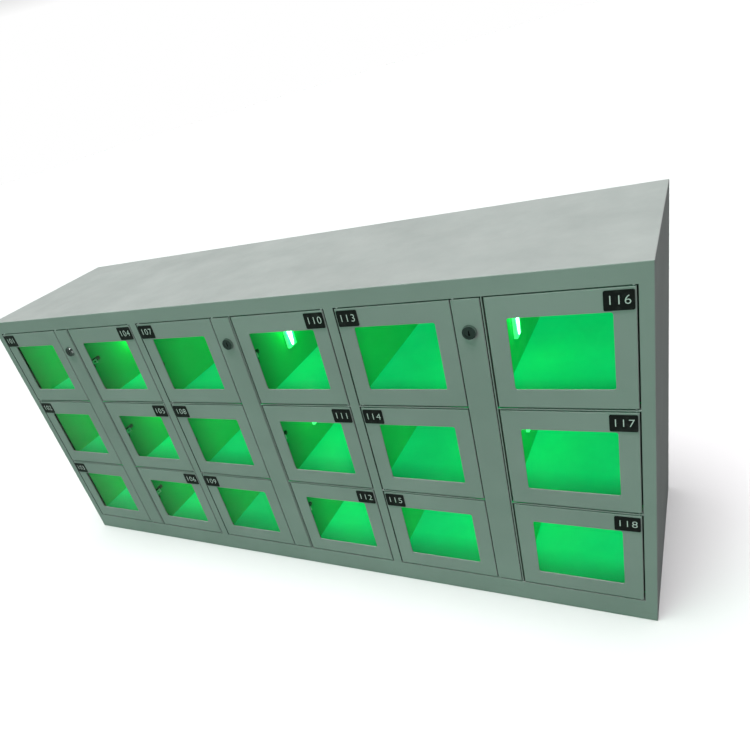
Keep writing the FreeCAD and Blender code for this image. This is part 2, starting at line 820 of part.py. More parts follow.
def lock_body(module):
    """The lock's head and threaded barrel, with its nut behind the panel."""
    x = lock_x(module)
    axis = Vector(0, 1, 0)
    head = doc.addObject("Part::Cone", f"lock_head_{module}")
    bind(head, Radius1="(Dims.head_radius-1.2)", Radius2="Dims.head_radius", Height="Dims.lock_proud")
    head.Placement = Placement(Vector(0, 0, 0), Rotation(Vector(0, 0, 1), axis))
    move(head, x, f"({FRONT}-Dims.lock_proud)", "Dims.lock_level")
    barrel = cylinder(
        f"lock_barrel_{module}",
        "Dims.barrel_radius",
        "Dims.barrel_length",
        (x, FRONT, "Dims.lock_level"),
        axis,
    )
    solid = fuse(f"lock_solid_{module}", head, barrel)
    bore = cylinder(
        f"lock_bore_{module}",
        "(Dims.plug_radius+Dims.plug_play)",
        "(Dims.barrel_length+Dims.lock_proud+2)",
        (x, f"({FRONT}-Dims.lock_proud-1)", "Dims.lock_level"),
        axis,
    )
    hollow = cut(f"lock_hollow_{module}", solid, bore)
    nut = doc.addObject("Part::Prism", f"lock_nut_{module}")
    nut.Polygon = 6
    bind(nut, Circumradius="Dims.nut_radius", Height="Dims.nut_thick")
    nut.Placement = Placement(Vector(0, 0, 0), Rotation(Vector(0, 0, 1), axis))
    move(nut, x, f"({FRONT}+Dims.sheet)", "Dims.lock_level")
    nut_bore = cylinder(
        f"lock_nut_bore_{module}",
        "(Dims.barrel_radius+0.02)",
        "(Dims.nut_thick+2)",
        (x, f"({FRONT}+Dims.sheet-1)", "Dims.lock_level"),
        axis,
    )
    ring = cut(f"lock_ring_{module}", nut, nut_bore)
    return node(f"lock_body_{module + 1}", group(f"lock_body_group_{module}", [hollow, ring]))


def lock_plug(module):
    """The keyed plug that turns in the barrel, and the cam on its tail, which hangs down when unlocked."""
    x = lock_x(module)
    axis = Vector(0, 1, 0)
    face = f"({FRONT}-Dims.lock_proud+0.5)"
    plug = cylinder(
        f"plug_core_{module}",
        "Dims.plug_radius",
        "(Dims.barrel_length+Dims.lock_proud-0.5)",
        (x, face, "Dims.lock_level"),
        axis,
    )
    keyway = box(
        f"plug_keyway_{module}",
        ("Dims.key_width", "(Dims.key_depth+1)", "Dims.key_height"),
        (f"({x}-Dims.key_width/2)", f"({face}-1)", "(Dims.lock_level-Dims.key_height/2)"),
    )
    keyed = cut(f"plug_keyed_{module}", plug, keyway)
    rear = f"({FRONT}+Dims.barrel_length)"
    blade = box(
        f"cam_blade_{module}",
        ("Dims.cam_width", "Dims.cam_thick", "Dims.cam_length"),
        (f"({x}-Dims.cam_width/2)", rear, "(Dims.lock_level-Dims.cam_length)"),
    )
    boss = cylinder(
        f"cam_boss_{module}", "(Dims.cam_width/2)", "Dims.cam_thick", (x, rear, "Dims.lock_level"), axis
    )
    cam = fuse(f"cam_{module}", blade, boss)
    return node(f"lock_plug_{module + 1}", group(f"lock_plug_group_{module}", [keyed, cam]))


# ---------------------------------------------------------------- fittings on the duct walls


def latch(module, side, row):
    """An electric latch in the duct, whose nose reaches through the wall's slot."""
    face = wall_face(module, side)
    middle = f"({door_bottom(row)}+{DOOR_HEIGHT}/2)"
    if side == "left":
        case_left = f"({face}+Dims.sheet)"
        nose_left = f"({face}-Dims.nose_proud)"
    else:
        case_left = f"({face}-Dims.sheet-Dims.latch_thick)"
        nose_left = f"({face}-Dims.sheet-2)"
    case = box(
        f"latch_case_{module}_{side}_{row}",
        ("Dims.latch_thick", "Dims.latch_depth", "Dims.latch_height"),
        (case_left, f"({FRONT}+Dims.slot_setback-4)", f"({middle}-Dims.latch_height/2)"),
    )
    nose = box(
        f"latch_nose_{module}_{side}_{row}",
        ("(Dims.nose_proud+Dims.sheet+2)", "(Dims.slot_depth-2)", "(Dims.slot_height-3)"),
        (nose_left, f"({FRONT}+Dims.slot_setback+1)", f"({middle}-(Dims.slot_height-3)/2)"),
    )
    return fuse(f"latch_{module}_{side}_{row}", case, nose)


def lamp(module, side, row):
    """A light module high on the duct's side of a compartment."""
    top = f"({door_bottom(row)}+{DOOR_HEIGHT}-Dims.lamp_drop)"
    body = rounded_plate(
        f"lamp_{module}_{side}_{row}", "Dims.lamp_depth", "Dims.lamp_height", "Dims.lamp_thick", "2"
    )
    turn = Rotation(Vector(0, 1, 0), Vector(0, 0, 1), Vector(1, 0, 0), "ZXY")
    body.Placement = Placement(Vector(0, 0, 0), turn)
    return move(
        body,
        outwards(module, side, "Dims.lamp_thick"),
        f"({FRONT}+Dims.lamp_setback)",
        f"({top}-Dims.lamp_height)",
    )


def port(module, side, row):
    """A charging outlet on the duct's side of a compartment, with two sockets."""
    middle = f"({door_bottom(row)}+{DOOR_HEIGHT}/2)"
    left = outwards(module, side, "Dims.port_thick")
    name = f"port_{module}_{side}_{row}"
    plate = box(
        f"{name}_plate",
        ("Dims.port_thick", "Dims.port_depth", "Dims.port_height"),
        (left, f"({FRONT}+Dims.port_setback)", f"({middle}-Dims.port_height/2)"),
    )
    mouth = f"({left}-1)" if side == "left" else f"({left}+Dims.port_thick-3)"
    sockets = [
        box(
            f"{name}_socket_{step}",
            ("4", "Dims.usb_width", "Dims.usb_height"),
            (
                mouth,
                f"({FRONT}+Dims.port_setback+5+{step}*(Dims.usb_width+10))",
                f"({middle}-Dims.usb_height/2)",
            ),
        )
        for step in (0, 1)
    ]
    return cut(name, plate, *sockets)


def wall_fittings(label_, make):
    pieces = [
        make(module, side, row)
        for module in range(MODULES)
        for side in ("left", "right")
        for row in range(ROWS)
    ]
    return node(label_, group(f"{label_}_group", pieces))


# ---------------------------------------------------------------- electrics


def duct_left(module):
    return f"({opening_left(module)}+Dims.left_wall_left+Dims.sheet)"


def power_supplies():
    """A slim enclosed supply low in each duct."""
    supplies = [
        box(
            f"supply_{module}",
            ("Dims.supply_thick", "Dims.supply_depth", "Dims.supply_height"),
            (duct_left(module), f"({FRONT}+Dims.supply_setback)", "Dims.flange_depth"),
        )
        for module in range(MODULES)
    ]
    return node("power_supplies", group("supplies", supplies))


def control_board(module):
    """The latch and charging controller: a board with a row of chips and terminal blocks."""
    left = duct_left(module)
    front = f"({FRONT}+Dims.board_setback)"
    board = box(
        f"board_plate_{module}",
        ("Dims.board_thick", "Dims.board_depth", "Dims.board_height"),
        (f"({left}+Dims.post_length)", front, "Dims.board_level"),
    )
    posts = [
        box(
            f"board_post_{module}_{step}",
            ("Dims.post_length", "Dims.post_size", "Dims.post_size"),
            (
                left,
                f"({front}+Dims.post_inset)",
                f"(Dims.board_level+Dims.post_inset+{step}*Dims.post_rise)",
            ),
        )
        for step in (0, 1)
    ]
    chips = [
        box(
            f"board_chip_{module}_{step}",
            ("Dims.chip_thick", "Dims.chip_size", "Dims.chip_size"),
            (
                f"({left}+Dims.post_length+Dims.board_thick)",
                f"({front}+Dims.chip_inset+{step % 2}*Dims.chip_pitch)",
                f"(Dims.board_level+Dims.chip_level+{step // 2}*Dims.chip_rise)",
            ),
        )
        for step in range(4)
    ]
    return fuse(f"board_{module}", board, *posts, *chips)


def power_inlet():
    """The mains inlet: a flange behind the back panel, a recessed body and three blades."""
    x = duct_centre(MODULES - 1)
    rear = f"({REAR}-Dims.back_inset)"
    flange = box(
        "inlet_flange",
        ("(Dims.inlet_width+4*Dims.flange_over)", "2.5", "(Dims.inlet_height+Dims.flange_over)"),
        (
            f"({x}-Dims.inlet_width/2-2*Dims.flange_over)",
            rear,
            "(Dims.inlet_level-(Dims.inlet_height+Dims.flange_over)/2)",
        ),
    )
    case = box(
        "inlet_case",
        ("(Dims.inlet_width-0.4)", "(Dims.inlet_deep+1)", "(Dims.inlet_height-0.4)"),
        (
            f"({x}-Dims.inlet_width/2+0.2)",
            f"({rear}-Dims.inlet_deep)",
            "(Dims.inlet_level-Dims.inlet_height/2+0.2)",
        ),
    )
    well = box(
        "inlet_well",
        ("(Dims.inlet_width-5)", "Dims.inlet_deep", "(Dims.inlet_height-5)"),
        (
            f"({x}-Dims.inlet_width/2+2.5)",
            f"({rear}-Dims.inlet_deep+5)",
            "(Dims.inlet_level-Dims.inlet_height/2+2.5)",
        ),
    )
    hollow = cut("inlet_hollow", fuse("inlet_outer", flange, case), well)
    blades = [
        box(
            f"inlet_blade_{step}",
            ("Dims.blade_width", "Dims.blade_length", "Dims.blade_height"),
            (
                f"({x}-Dims.blade_width/2+{step - 1}*Dims.blade_pitch)",
                f"({rear}-Dims.inlet_deep+4)",
                f"(Dims.inlet_level-Dims.blade_height/{1 if step == 1 else 2})",
            ),
        )
        for step in range(3)
    ]
    return node("power_inlet", fuse("inlet", hollow, *blades))


def panel_screws():
    """Pan-head screws that hold the back panel to the dividers and duct walls."""
    screws = []
    columns = [f"({opening_left(m)}-Dims.mullion_width/2)" for m in range(1, MODULES)]
    columns += [
        f"({opening_left(m)}+Dims.{s}_wall_left+Dims.sheet/2)"
        for m in range(MODULES)
        for s in ("left", "right")
    ]
    for number, x in enumerate(columns):
        for step in range(3):
            level = f"(Dims.screw_inset+{step}*(Dims.cab_height-2*Dims.screw_inset)/2)"
            screws.append(
                cylinder(
                    f"screw_{number}_{step}",
                    "Dims.screw_radius",
                    "Dims.screw_thick",
                    (x, f"({REAR}-Dims.back_inset)", level),
                    Vector(0, 1, 0),
                )
            )
    return node("panel_screws", group("screws", screws))


# ---------------------------------------------------------------- the whole object


def build():
    make_sheet()
    outer_panels()
    front_frame()
    bottom_panel()
    back_panel()
    dividers()
    walls = [duct_wall(module, side) for module in range(MODULES) for side in ("left", "right")]
    node("duct_walls", group("walls", [*walls, *[keeper(module) for module in range(MODULES)]]))
    wall_fittings("shelves", shelf)
    hinge_pins()
    doors()
    for module in range(MODULES):
        access_panel(module)
        lock_body(module)
        lock_plug(module)
    wall_fittings("latches", latch)
    wall_fittings("lamps", lamp)
    wall_fittings("charging_ports", port)
    power_supplies()
    node("control_boards", group("boards", [control_board(module) for module in range(MODULES)]))
    power_inlet()
    panel_screws()
    doc.recompute()


def check_and_export():
    for thing in doc.Objects:
        if "Invalid" in thing.State or "Error" in thing.State:
            raise RuntimeError(f"{thing.Name} ({thing.Label}) failed: {thing.State}")
    os.makedirs("parts", exist_ok=True)
    for thing in nodes:
        shape = thing.Shape
        if shape.isNull() or not shape.isValid() or not shape.Solids:
            raise RuntimeError(f"{thing.Label} has no valid solid")
        shape.exportStep(f"parts/{thing.Label}.step")
        print(thing.Label, len(shape.Solids), "solids", round(shape.Volume / 1000, 2), "cm3")


build()
check_and_export()
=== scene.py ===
import math

import bmesh
import bpy
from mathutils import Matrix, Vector


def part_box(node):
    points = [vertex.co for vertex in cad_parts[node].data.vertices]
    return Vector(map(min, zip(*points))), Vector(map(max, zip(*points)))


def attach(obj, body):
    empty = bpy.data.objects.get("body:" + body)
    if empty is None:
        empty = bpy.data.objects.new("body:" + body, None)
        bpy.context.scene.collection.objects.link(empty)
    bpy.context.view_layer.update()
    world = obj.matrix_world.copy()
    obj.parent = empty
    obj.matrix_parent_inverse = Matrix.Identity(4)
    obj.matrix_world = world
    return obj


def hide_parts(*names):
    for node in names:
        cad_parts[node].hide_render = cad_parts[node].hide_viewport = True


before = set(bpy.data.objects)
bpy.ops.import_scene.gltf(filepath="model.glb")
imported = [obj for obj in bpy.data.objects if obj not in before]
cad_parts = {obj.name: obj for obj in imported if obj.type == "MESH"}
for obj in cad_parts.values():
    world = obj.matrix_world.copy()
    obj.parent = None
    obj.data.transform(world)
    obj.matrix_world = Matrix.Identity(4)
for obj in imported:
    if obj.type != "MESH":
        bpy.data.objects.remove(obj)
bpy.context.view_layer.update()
MM = 0.001

# ---------------------------------------------------------------- what the looks are worked out from

MODULES = 3
ROWS = 3
SHEET = 1.5 * MM
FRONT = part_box("front_frame")[0].y
CABINET = (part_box("outer_panels")[0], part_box("outer_panels")[1])
BACK_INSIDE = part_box("back_panel")[0].y
MODULE_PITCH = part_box("door_07")[0].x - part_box("door_01")[0].x
ROW_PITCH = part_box("door_01")[0].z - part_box("door_02")[0].z
DOOR_GAP = 2.0 * MM
OPENING_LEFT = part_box("door_01")[0].x - DOOR_GAP
DUCT_LEFT = 184.65 * MM
DUCT_RIGHT = 229.3 * MM
PANE_THICK = 3.0 * MM
LAMP_THICK = 5.0 * MM
CLIP_SIZE = 7.0 * MM
# Size and place of the glowing patch on each lamp, a painted highlight.
PATCH_PROUD = 0.8 * MM
PATCH_INSET = 3.0 * MM
PATCH_HALF = 10.5 * MM
TIP_SINK = 1.0 * MM
TIP_RISE = 2.0 * MM
TIP_RADIUS = 3.2 * MM
TIP_STEPS = 8
HEAD_SIDES = 32
HEAD_STEPS = 6
# Size and place of the dark flaps that paint shade behind the hinge-side gaps.
FLAP_OUT = 1.9 * MM
FLAP_IN = 4.0 * MM
FLAP_SETBACK = 19.0 * MM
FLAP_THICK = 1.0 * MM
FIRST_NUMBER = 101

GREY = (0.150, 0.160, 0.156)
# The liner's colour carries painted light: green, as the green lamps would light a grey wall.
PAINTED_GREEN_LIGHT_LINER = (0.012, 0.28, 0.085)
LED_GREEN = (0.0, 1.0, 0.13)


# ---------------------------------------------------------------- material helpers


class Shader:
    """A node tree with its Principled shader, and short calls for the nodes used below."""

    def __init__(self, name):
        self.material = bpy.data.materials.new(name)
        self.material.use_nodes = True
        self.tree = self.material.node_tree
        self.surface = self.tree.nodes["Principled BSDF"]
        self.place = self.node("ShaderNodeTexCoord").outputs["Object"]

    def node(self, kind, settings=None, **inputs):
        made = self.tree.nodes.new(kind)
        for key, value in (settings or {}).items():
            setattr(made, key, value)
        for key, value in inputs.items():
            self.feed(made.inputs[key.replace("_", " ")], value)
        return made

    def feed(self, socket, value):
        if isinstance(value, bpy.types.NodeSocket):
            self.tree.links.new(value, socket)
        else:
            socket.default_value = value

    def set(self, **inputs):
        for key, value in inputs.items():
            if isinstance(value, tuple) and len(value) == 3:
                value = (*value, 1.0)
            self.feed(self.surface.inputs[key.replace("_", " ")], value)
        return self

    def stretched(self, scale):
        return self.node("ShaderNodeMapping", Vector=self.place, Scale=scale).outputs["Vector"]

    def noise(self, scale, detail=3.0, roughness=0.5, place=None):
        made = self.node("ShaderNodeTexNoise", Scale=scale, Detail=detail, Roughness=roughness)
        self.feed(made.inputs["Vector"], place or self.place)
        return made.outputs["Fac"]

    def band(self, value, low, high, to_low, to_high):
        """Maps low..high to to_low..to_high, clamped."""
        made = self.node("ShaderNodeMapRange", Value=value)
        for key, number in (("From Min", low), ("From Max", high), ("To Min", to_low), ("To Max", to_high)):
            made.inputs[key].default_value = number
        return made.outputs["Result"]

    def math(self, operation, first, second=0.0):
        made = self.node("ShaderNodeMath", {"operation": operation})
        self.feed(made.inputs[0], first)
        self.feed(made.inputs[1], second)
        return made.outputs["Value"]

    def mix(self, amount, first, second, blend="MIX"):
        made = self.node("ShaderNodeMix", {"data_type": "RGBA", "blend_type": blend})
        self.feed(made.inputs[0], amount)
        for index, value in ((6, first), (7, second)):
            if isinstance(value, tuple):
                value = (*value, 1.0)
            self.feed(made.inputs[index], value)
        return made.outputs[2]

    def grey(self, value):
        """A number as a colour."""
        made = self.node("ShaderNodeCombineColor")
        for index in range(3):
            self.feed(made.inputs[index], value)
        return made.outputs["Color"]

    def axis(self, name, place=None):
        return self.node("ShaderNodeSeparateXYZ", Vector=place or self.place).outputs[name]

    def bump(self, height, distance, strength=1.0, under=None):
        made = self.node("ShaderNodeBump", Height=height, Distance=distance, Strength=strength)
        if under is not None:
            self.feed(made.inputs["Normal"], under)
        return made.outputs["Normal"]


def powder_coat(name, colour, roughness=0.52, wear=0.5):
    """Textured powder coat: orange peel, faint mottling, handling smudges and scuffs along the lower edge."""
    shader = Shader(name)
    mottle = shader.band(shader.noise(6.0, 4.0), 0.3, 0.7, 0.93, 1.06)
    tint = shader.mix(1.0, colour, shader.grey(mottle), "MULTIPLY")
    speck = shader.band(shader.noise(420.0, 2.0), 0.66, 0.74, 0.0, 0.12)
    tint = shader.mix(speck, tint, (0.10, 0.11, 0.10))
    height = shader.axis("Z")
    low_edge = shader.band(height, 0.0, 0.06, wear, 0.0)
    streaks = shader.noise(38.0, 8.0, 0.72, shader.stretched((1.0, 1.0, 3.0)))
    scuffs = shader.band(streaks, 0.56, 0.66, 0.0, 1.0)
    tint = shader.mix(shader.math("MULTIPLY", low_edge, scuffs), tint, (0.13, 0.13, 0.12))
    facing_up = shader.axis("Z", shader.node("ShaderNodeNewGeometry").outputs["Normal"])
    dust = shader.math("MULTIPLY", shader.band(facing_up, 0.6, 1.0, 0.0, 0.35), shader.noise(14.0, 6.0, 0.65))
    tint = shader.mix(dust, tint, (0.33, 0.33, 0.32))
    smudge = shader.noise(11.0, 7.0, 0.62)
    peel = shader.noise(620.0, 2.0, 0.45)
    grain = shader.noise(2600.0, 1.0)
    normal = shader.bump(grain, 0.03 * MM, 0.6, shader.bump(peel, 0.12 * MM, 0.5))
    shader.set(Base_Color=tint, Normal=normal, Specular_IOR_Level=0.0)
    shader.set(Roughness=shader.band(smudge, 0.3, 0.7, roughness - 0.09, roughness + 0.09))
    return shader.material


def liner_with_painted_light(name, colour, glow, strength):
    """The cabinet's inner paint with the green lamps' light painted in: a green base colour and a green glow
    that fades towards the front; the ducts between the walls get no glow.
    """
    shader = Shader(name)
    mottle = shader.band(shader.noise(9.0, 4.0), 0.3, 0.7, 0.9, 1.07)
    indoors = shader.math("LESS_THAN", shader.axis("Y"), BACK_INSIDE + SHEET / 2)
    tint = shader.mix(1.0, shader.mix(indoors, GREY, colour), shader.grey(mottle), "MULTIPLY")
    across = shader.math("SUBTRACT", shader.axis("X"), OPENING_LEFT)
    across = shader.math("FLOORED_MODULO", across, MODULE_PITCH)
    before_duct = shader.math("LESS_THAN", across, DUCT_LEFT + 0.5 * MM)
    after_duct = shader.math("GREATER_THAN", across, DUCT_RIGHT - 0.5 * MM)
    open_side = shader.math("MULTIPLY", shader.math("ADD", before_duct, after_duct), indoors)
    deep = shader.band(shader.axis("Y"), FRONT + 20 * MM, FRONT + 90 * MM, 0.12, 1.0)
    cloud = shader.band(shader.noise(5.0, 3.0), 0.3, 0.7, 0.82, 1.1)
    level = shader.math("MULTIPLY", shader.math("MULTIPLY", open_side, deep), cloud)
    # Painted glow: an emission colour standing in for the lamps' light on the walls.
    painted_glow_colour = shader.mix(1.0, glow, shader.grey(level), "MULTIPLY")
    peel = shader.noise(700.0, 2.0, 0.45)
    shader.set(Base_Color=tint, Normal=shader.bump(peel, 0.1 * MM, 0.5))
    shader.set(Roughness=shader.band(shader.noise(20.0, 5.0), 0.3, 0.7, 0.3, 0.48))
    shader.set(Emission_Color=painted_glow_colour, Emission_Strength=strength, Specular_IOR_Level=0.08)
    return shader.material


def metal(name, colour, roughness, brush=(30.0, 900.0, 900.0), spread=0.08):
    """Plated or bare metal with fine drawn lines and faint stains."""
    shader = Shader(name)
    lines = shader.noise(1.0, 4.0, 0.6, shader.stretched(brush))
    stains = shader.band(shader.noise(60.0, 5.0, 0.6), 0.35, 0.7, 0.86, 1.05)
    shader.set(Base_Color=shader.mix(1.0, colour, shader.grey(stains), "MULTIPLY"), Metallic=1.0)
    shader.set(Roughness=shader.band(lines, 0.3, 0.7, max(0.03, roughness - spread), roughness + spread))
    shader.set(Normal=shader.bump(lines, 0.02 * MM, 0.5))
    return shader.material


def moulded(name, colour, roughness=0.45, coat=0.0, specular=0.5):
    """Moulded plastic: spark-eroded grain and faint dust."""
    shader = Shader(name)
    grain = shader.noise(1500.0, 3.0, 0.55)
    dust = shader.band(shader.noise(70.0, 6.0, 0.7), 0.5, 0.75, 0.0, 0.05)
    shader.set(Base_Color=shader.mix(dust, colour, (0.25, 0.25, 0.24)))
    shader.set(Normal=shader.bump(grain, 0.05 * MM, 0.45))
    shader.set(Roughness=shader.band(shader.noise(45.0, 5.0), 0.3, 0.7, roughness - 0.08, roughness + 0.1))
    shader.set(Coat_Weight=coat, Coat_Roughness=0.15, Specular_IOR_Level=specular)
    return shader.material


def clear_pane():
    """Clear polycarbonate with faint smears and hairline scratches."""
    shader = Shader("pane_polycarbonate")
    smear = shader.noise(16.0, 7.0, 0.62, shader.stretched((1.0, 1.0, 2.2)))
    hair = shader.noise(1.0, 3.0, 0.6, shader.stretched((900.0, 40.0, 60.0)))
    tint = shader.mix(shader.band(smear, 0.4, 0.7, 0.0, 1.0), (0.97, 1.0, 0.98), (0.90, 0.96, 0.92))
    shader.set(Base_Color=tint, Transmission_Weight=1.0, IOR=1.1, Specular_IOR_Level=0.0)
    shader.set(Roughness=shader.band(smear, 0.45, 0.75, 0.0, 0.05), Normal=shader.bump(hair, 0.002 * MM, 0.3))
    return shader.material


def lamp_glow(name, hot, strength):
    """A diffusing lens over a row of light-emitting diodes, brightest over each of them."""
    shader = Shader(name)
    beads = shader.math("SINE", shader.math("MULTIPLY", shader.axis("Z"), 2 * math.pi / (11.0 * MM)))
    ripple = shader.band(beads, -1.0, 1.0, 0.75, 1.0)
    frost = shader.noise(900.0, 2.0)
    shader.set(Base_Color=(0.6, 0.9, 0.68), Emission_Strength=strength)
    shader.set(Emission_Color=shader.mix(1.0, hot, shader.grey(ripple), "MULTIPLY"))
    shader.set(Roughness=shader.band(frost, 0.3, 0.7, 0.3, 0.45), Normal=shader.bump(frost, 0.04 * MM, 0.4))
    return shader.material


def circuit_board():
    """Solder mask over copper tracks, with tinned pads."""
    shader = Shader("board_solder_mask")
    tracks = shader.node("ShaderNodeTexBrick", {"offset": 0.37}, Scale=1.0)
    shader.feed(tracks.inputs["Vector"], shader.stretched((0.0, 190.0, 260.0)))
    tracks.inputs["Mortar Size"].default_value = 0.06
    copper = tracks.outputs["Fac"]
    dots = shader.node("ShaderNodeTexVoronoi", Scale=230.0)
    pads = shader.band(dots.outputs["Distance"], 0.12, 0.16, 1.0, 0.0)
    mask = shader.mix(copper, (0.012, 0.115, 0.045), (0.03, 0.22, 0.09))
    shader.set(Base_Color=shader.mix(pads, mask, (0.72, 0.68, 0.5)))
    shader.set(Metallic=shader.math("MULTIPLY", pads, 0.9))
    shader.set(Roughness=shader.band(shader.noise(300.0, 3.0), 0.3, 0.7, 0.22, 0.4))
    shader.set(Normal=shader.bump(copper, 0.05 * MM, 0.6), Coat_Weight=0.35, Coat_Roughness=0.12)
    return shader.material


paint = powder_coat("cabinet_powder_coat", GREY)
door_paint = powder_coat("door_powder_coat", tuple(1.02 * c for c in GREY), 0.5, 0.2)
panel_paint = powder_coat("access_powder_coat", GREY, 0.5, 0.2)
# A slightly darker copy of the paint: painted shade for the inner faces that get no painted glow.
shaded_liner = powder_coat("liner_unlit", tuple(0.9 * c for c in GREY), 0.55, 0.0)
# Liners with the green lamps' light painted in, as base colour and glow; the floor's glow is the brightest.
wall_liner = liner_with_painted_light("liner_walls_painted_glow", PAINTED_GREEN_LIGHT_LINER, (0.0, 0.25, 0.034), 0.8)
back_liner = liner_with_painted_light("liner_back_painted_glow", PAINTED_GREEN_LIGHT_LINER, (0.0, 0.43, 0.026), 0.8)
floor_liner = liner_with_painted_light("liner_floor_painted_glow", PAINTED_GREEN_LIGHT_LINER, (0.0, 0.55, 0.145), 0.8)
# A much darker copy of the paint: painted shade for the flanges and faces in the gaps.
shaded_paint = powder_coat("gap_painted_shade", tuple(0.35 * c for c in GREY), 0.6, 0.0)
pane_clear = clear_pane()
plug_face = metal("lock_plug_darkened", (0.022, 0.036, 0.030), 0.2, (700.0, 30.0, 700.0), 0.05)
chrome = metal("lock_plated", (0.40, 0.43, 0.42), 0.12, (700.0, 30.0, 700.0), 0.05)
zinc = metal("zinc_plate", (0.55, 0.56, 0.57), 0.34)
supply_metal = metal("supply_aluminium", (0.70, 0.71, 0.72), 0.38, (900.0, 30.0, 900.0))
brass = metal("terminal_brass", (0.75, 0.58, 0.27), 0.3)
black_plastic = moulded("black_plastic", (0.018, 0.019, 0.020), 0.48)
chip_plastic = moulded("chip_plastic", (0.03, 0.03, 0.032), 0.4)
label_black = moulded("label_laminate", (0.006, 0.006, 0.006), 0.5, 0.0, 0.03)
label_print = moulded("label_print", (0.31, 0.32, 0.315), 0.5)
lamp_body = lamp_glow("lamp_housing_glow", (0.03, 1.0, 0.22), 1.1)
# A brighter, whiter glow for the tapering patches on the lamps: a painted highlight.
lamp_painted_highlight = lamp_glow("lamp_lens_painted_highlight", (0.62, 1.0, 0.78), 7.0)
board_mask = circuit_board()


# ---------------------------------------------------------------- giving the CAD nodes their materials


def dress(name, first, *others):
    """Gives a CAD node its main material, and other materials to the faces that a test accepts."""
    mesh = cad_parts[name].data
    mesh.materials.clear()
    mesh.materials.append(first)
    for material, _ in others:
        mesh.materials.append(material)
    for face in mesh.polygons:
        face.material_index = 0
        corners = [mesh.vertices[i].co for i in face.vertices]
        for index, (_, test) in enumerate(others, start=1):
            if test(face, corners):
                face.material_index = index
                break


def all_beyond(axis, limit, sign=1):
    return lambda face, corners: all(sign * (c[axis] - limit) > 0 for c in corners)


def faces_in(axis, sign):
    return lambda face, corners: face.normal[axis] * sign > 0.9


def wall_side(face, corners):
    """A duct wall's face that looks into the compartments, and its cut edges."""
    across = (sum(c.x for c in corners) / len(corners) - OPENING_LEFT) % MODULE_PITCH
    on_face = abs(across - DUCT_LEFT) < 0.1 * MM or abs(across - DUCT_RIGHT) < 0.1 * MM
    return on_face and all(c.y > FRONT + 17 * MM for c in corners)


def behind_front(face, corners):
    """Folded flanges, which stand in the shade of the gaps."""
    return abs(face.normal.y) < 0.1 and any(c.y > FRONT + 8 * MM for c in corners)


def panels_inside(face, corners):
    inner = CABINET[1].x - 1.2 * SHEET
    top = CABINET[1].z - 1.2 * SHEET
    side = abs(face.normal.x) > 0.9 and all(abs(c.x) < inner + 0.4 * SHEET for c in corners)
    ceiling = face.normal.z < -0.9 and all(c.z > top - SHEET for c in corners)
    return side or ceiling


def dress_cabinet():
    dress("outer_panels", paint, (wall_liner, panels_inside))
    dress("front_frame", paint, (shaded_paint, behind_front))
    dress("bottom_panel", paint, (shaded_liner, faces_in(2, 1)))
    dress("back_panel", paint, (back_liner, faces_in(1, -1)))
    dress("divider_plates", wall_liner)
    dress(
        "duct_walls",
        shaded_liner,
        (wall_liner, wall_side),
        (paint, all_beyond(1, FRONT + 0.2 * MM, -1)),
        (shaded_paint, all_beyond(1, FRONT + 19 * MM, -1)),
    )
    dress(
        "shelves",
        paint,
        (floor_liner, lambda f, c: f.normal.z > 0.9 and any(v.y > FRONT + 30 * MM for v in c)),
        (wall_liner, lambda f, c: any(v.y > FRONT + 30 * MM for v in c)),
    )
    dress("hinge_pins", zinc)
    dress("latches", black_plastic)
    dress("lamps", lamp_body)
    dress("charging_ports", black_plastic)
    dress("power_supplies", supply_metal)
    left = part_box("control_boards")[0].x
    board_face = 5.7 * MM

    def chip(face, corners):
        out = (sum(c.x for c in corners) / len(corners) - left) % MODULE_PITCH
        return out > board_face

    dress("control_boards", board_mask, (chip_plastic, chip))
    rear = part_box("power_inlet")[1].y

    def blade(face, corners):
        middle = sum((c for c in corners), Vector()) / len(corners)
        centre = sum(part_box("power_inlet"), Vector()) / 2
        inner = abs(middle.x - centre.x) < 8.3 * MM and abs(middle.z - centre.z) < 4.6 * MM
        return inner and rear - 20 * MM < middle.y < rear - 4 * MM

    dress("power_inlet", black_plastic, (brass, blade))


def dress_doors():
    for number in range(1, MODULES * ROWS * 2 + 1):
        name = f"door_{number:02d}"
        low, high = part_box(name)
        striker_from = FRONT + 1.4 * MM
        reach = 20 * MM

        def on_striker(face, corners, low=low, high=high):
            near_edge = min(min(abs(c.x - low.x), abs(c.x - high.x)) for c in corners)
            middle = (low.z + high.z) / 2
            level = all(abs(c.z - middle) < 5 * MM for c in corners)
            deep = any(c.y > FRONT + reach / 2 for c in corners)
            return level and deep and near_edge > 5 * MM and all(c.y > striker_from for c in corners)

        dress(
            name,
            door_paint,
            (label_black, lambda f, c: sum(v.y for v in c) / len(c) < FRONT - 0.2 * MM),
            (zinc, on_striker),
            (shaded_paint, behind_front),
        )
        pane_back = FRONT + SHEET + PANE_THICK

        def on_clip(face, corners, name=f"window_{number:02d}"):
            middle = sum((c for c in corners), Vector()) / len(corners)
            half = (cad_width[name] - CLIP_SIZE) / 2
            return middle.y > pane_back + 0.1 * MM or abs(middle.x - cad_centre[name]) > half + 0.1 * MM

        dress(f"window_{number:02d}", pane_clear, (black_plastic, on_clip))
    for module in range(1, MODULES + 1):
        dress(f"access_panel_{module}", panel_paint, (shaded_paint, behind_front))
        dress(f"lock_body_{module}", chrome, (plug_face, faces_in(1, -1)))
        dress(f"lock_plug_{module}", plug_face, (zinc, all_beyond(1, FRONT + 19.9 * MM)))


